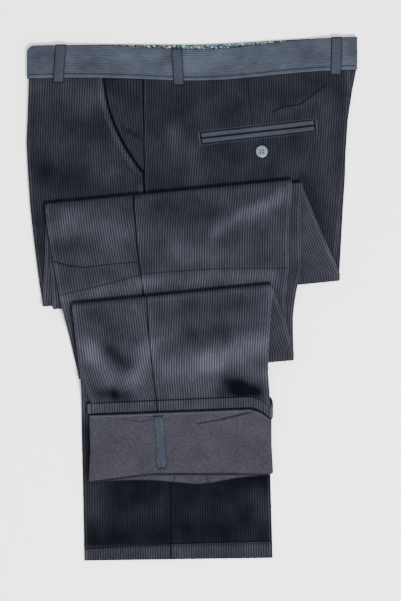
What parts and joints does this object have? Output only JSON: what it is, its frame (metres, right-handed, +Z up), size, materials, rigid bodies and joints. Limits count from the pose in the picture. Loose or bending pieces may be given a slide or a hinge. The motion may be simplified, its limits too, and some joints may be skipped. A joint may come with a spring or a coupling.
{
  "type": "fleece-lined trousers, folded",
  "caption": "Corduroy trousers with a fleece inside, lying folded on their side: waist above, legs folded back on themselves, the upper leg's end turned up as a cuff.",
  "frame": {"origin": "on the surface that the folded trousers lie on, under the middle of their outline", "axes": "+Y from the hems to the waistband, +Z up out of the pile of layers, +X towards the back creases"},
  "size_m": [0.4118, 0.652, 0.0441],
  "materials": {
    "corduroy": "eight-wale corduroy, navy black, dark grey fleece on the inside",
    "lining": "printed woven cotton, speckled",
    "button": "polished resin"
  },
  "bodies": {
    "root": {"left_front": "corduroy", "left_back": "corduroy", "right_front": "corduroy", "right_back": "corduroy", "waistband": "corduroy", "waistband_lining": "lining", "left_belt_loop_front": "corduroy", "left_belt_loop_side": "corduroy", "left_belt_loop_back": "corduroy", "right_belt_loop_front": "corduroy", "right_belt_loop_side": "corduroy", "right_belt_loop_back": "corduroy", "left_pocket_facing": "corduroy", "back_pocket_upper_welt": "corduroy", "back_pocket_lower_welt": "corduroy", "back_pocket_button": "button", "left_cuff_seam_allowance": "corduroy"}
  },
  "joints": []
}
